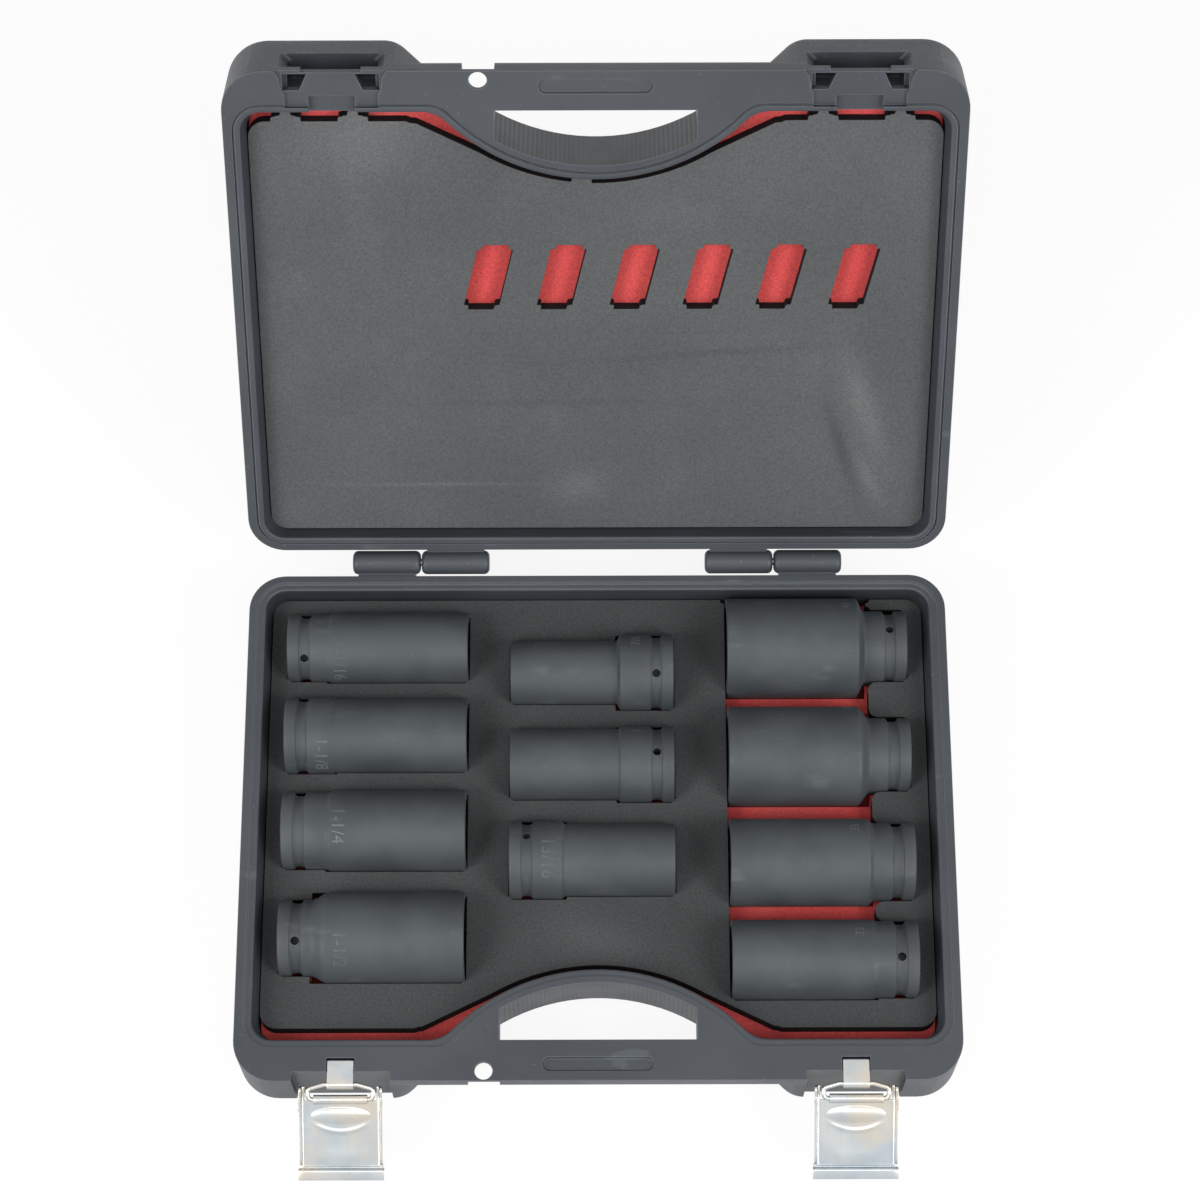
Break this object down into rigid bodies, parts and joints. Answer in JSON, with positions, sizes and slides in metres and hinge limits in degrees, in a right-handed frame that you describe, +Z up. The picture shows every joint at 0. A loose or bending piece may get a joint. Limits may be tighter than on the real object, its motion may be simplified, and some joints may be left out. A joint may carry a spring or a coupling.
{
  "type": "socket wrench set in case",
  "caption": "Open twin-wall plastic carrying case with foam inserts holding deep impact sockets, with a hinged lid, a handle and draw latches.",
  "frame": {"origin": "middle of the flat underside of the lower half", "axes": "+X along the case to the right as seen from the handle side, +Y from the handle to the hinges, +Z up"},
  "size_m": [0.386, 0.5533, 0.2879],
  "materials": {
    "case_plastic": "satin",
    "red_foam": "matte",
    "black_foam": "matte",
    "socket_steel": "satin",
    "latch_steel": "satin",
    "steel_pin": "satin"
  },
  "bodies": {
    "base": {"base_shell": "case_plastic", "base_red_foam": "red_foam", "base_black_foam": "black_foam", "left_hinge_pin": "steel_pin", "right_hinge_pin": "steel_pin", "left_latch_strap": "latch_steel", "right_latch_strap": "latch_steel"},
    "lid": {"lid_shell": "case_plastic", "lid_red_foam": "red_foam", "lid_black_foam": "black_foam"},
    "left_ring": {"left_latch_ring": "latch_steel"},
    "left_lever": {"left_latch_lever": "latch_steel"},
    "right_ring": {"right_latch_ring": "latch_steel"},
    "right_lever": {"right_latch_lever": "latch_steel"},
    "socket_1_1_16": {"socket_1_1_16": "socket_steel"},
    "socket_1_1_8": {"socket_1_1_8": "socket_steel"},
    "socket_1_1_4": {"socket_1_1_4": "socket_steel"},
    "socket_1_1_2": {"socket_1_1_2": "socket_steel"},
    "socket_7_8": {"socket_7_8": "socket_steel"},
    "socket_1": {"socket_1": "socket_steel"},
    "socket_13_16": {"socket_13_16": "socket_steel"},
    "socket_41": {"socket_41": "socket_steel"},
    "socket_38": {"socket_38": "socket_steel"},
    "socket_35": {"socket_35": "socket_steel"},
    "socket_32": {"socket_32": "socket_steel"}
  },
  "joints": [
    {"name": "lid_hinge", "type": "hinge", "parent": "base", "child": "lid", "pos_m": [0, 0.1511, 0.05215], "axis": [1, 0, 0], "range_deg": [0, 126.7]},
    {"name": "left_ring_hinge", "type": "hinge", "parent": "base", "child": "left_ring", "pos_m": [-0.136, -0.1442, 0.049], "axis": [-1, 0, 0], "range_deg": [0, 115]},
    {"name": "left_lever_hinge", "type": "hinge", "parent": "left_ring", "child": "left_lever", "pos_m": [-0.136, -0.15126, 0.04524], "axis": [-1, 0, 0], "range_deg": [-60, 5]},
    {"name": "right_ring_hinge", "type": "hinge", "parent": "base", "child": "right_ring", "pos_m": [0.136, -0.1442, 0.049], "axis": [-1, 0, 0], "range_deg": [0, 115]},
    {"name": "right_lever_hinge", "type": "hinge", "parent": "right_ring", "child": "right_lever", "pos_m": [0.136, -0.15126, 0.04524], "axis": [-1, 0, 0], "range_deg": [-60, 5]},
    {"name": "socket_1_1_16_lift", "type": "slide", "parent": "base", "child": "socket_1_1_16", "axis": [0, 0, 1], "range_m": [0, 0.14]},
    {"name": "socket_1_1_8_lift", "type": "slide", "parent": "base", "child": "socket_1_1_8", "axis": [0, 0, 1], "range_m": [0, 0.14]},
    {"name": "socket_1_1_4_lift", "type": "slide", "parent": "base", "child": "socket_1_1_4", "axis": [0, 0, 1], "range_m": [0, 0.14]},
    {"name": "socket_1_1_2_lift", "type": "slide", "parent": "base", "child": "socket_1_1_2", "axis": [0, 0, 1], "range_m": [0, 0.14]},
    {"name": "socket_7_8_lift", "type": "slide", "parent": "base", "child": "socket_7_8", "axis": [0, 0, 1], "range_m": [0, 0.14]},
    {"name": "socket_1_lift", "type": "slide", "parent": "base", "child": "socket_1", "axis": [0, 0, 1], "range_m": [0, 0.14]},
    {"name": "socket_13_16_lift", "type": "slide", "parent": "base", "child": "socket_13_16", "axis": [0, 0, 1], "range_m": [0, 0.14]},
    {"name": "socket_41_lift", "type": "slide", "parent": "base", "child": "socket_41", "axis": [0, 0, 1], "range_m": [0, 0.14]},
    {"name": "socket_38_lift", "type": "slide", "parent": "base", "child": "socket_38", "axis": [0, 0, 1], "range_m": [0, 0.14]},
    {"name": "socket_35_lift", "type": "slide", "parent": "base", "child": "socket_35", "axis": [0, 0, 1], "range_m": [0, 0.14]},
    {"name": "socket_32_lift", "type": "slide", "parent": "base", "child": "socket_32", "axis": [0, 0, 1], "range_m": [0, 0.14]}
  ]
}
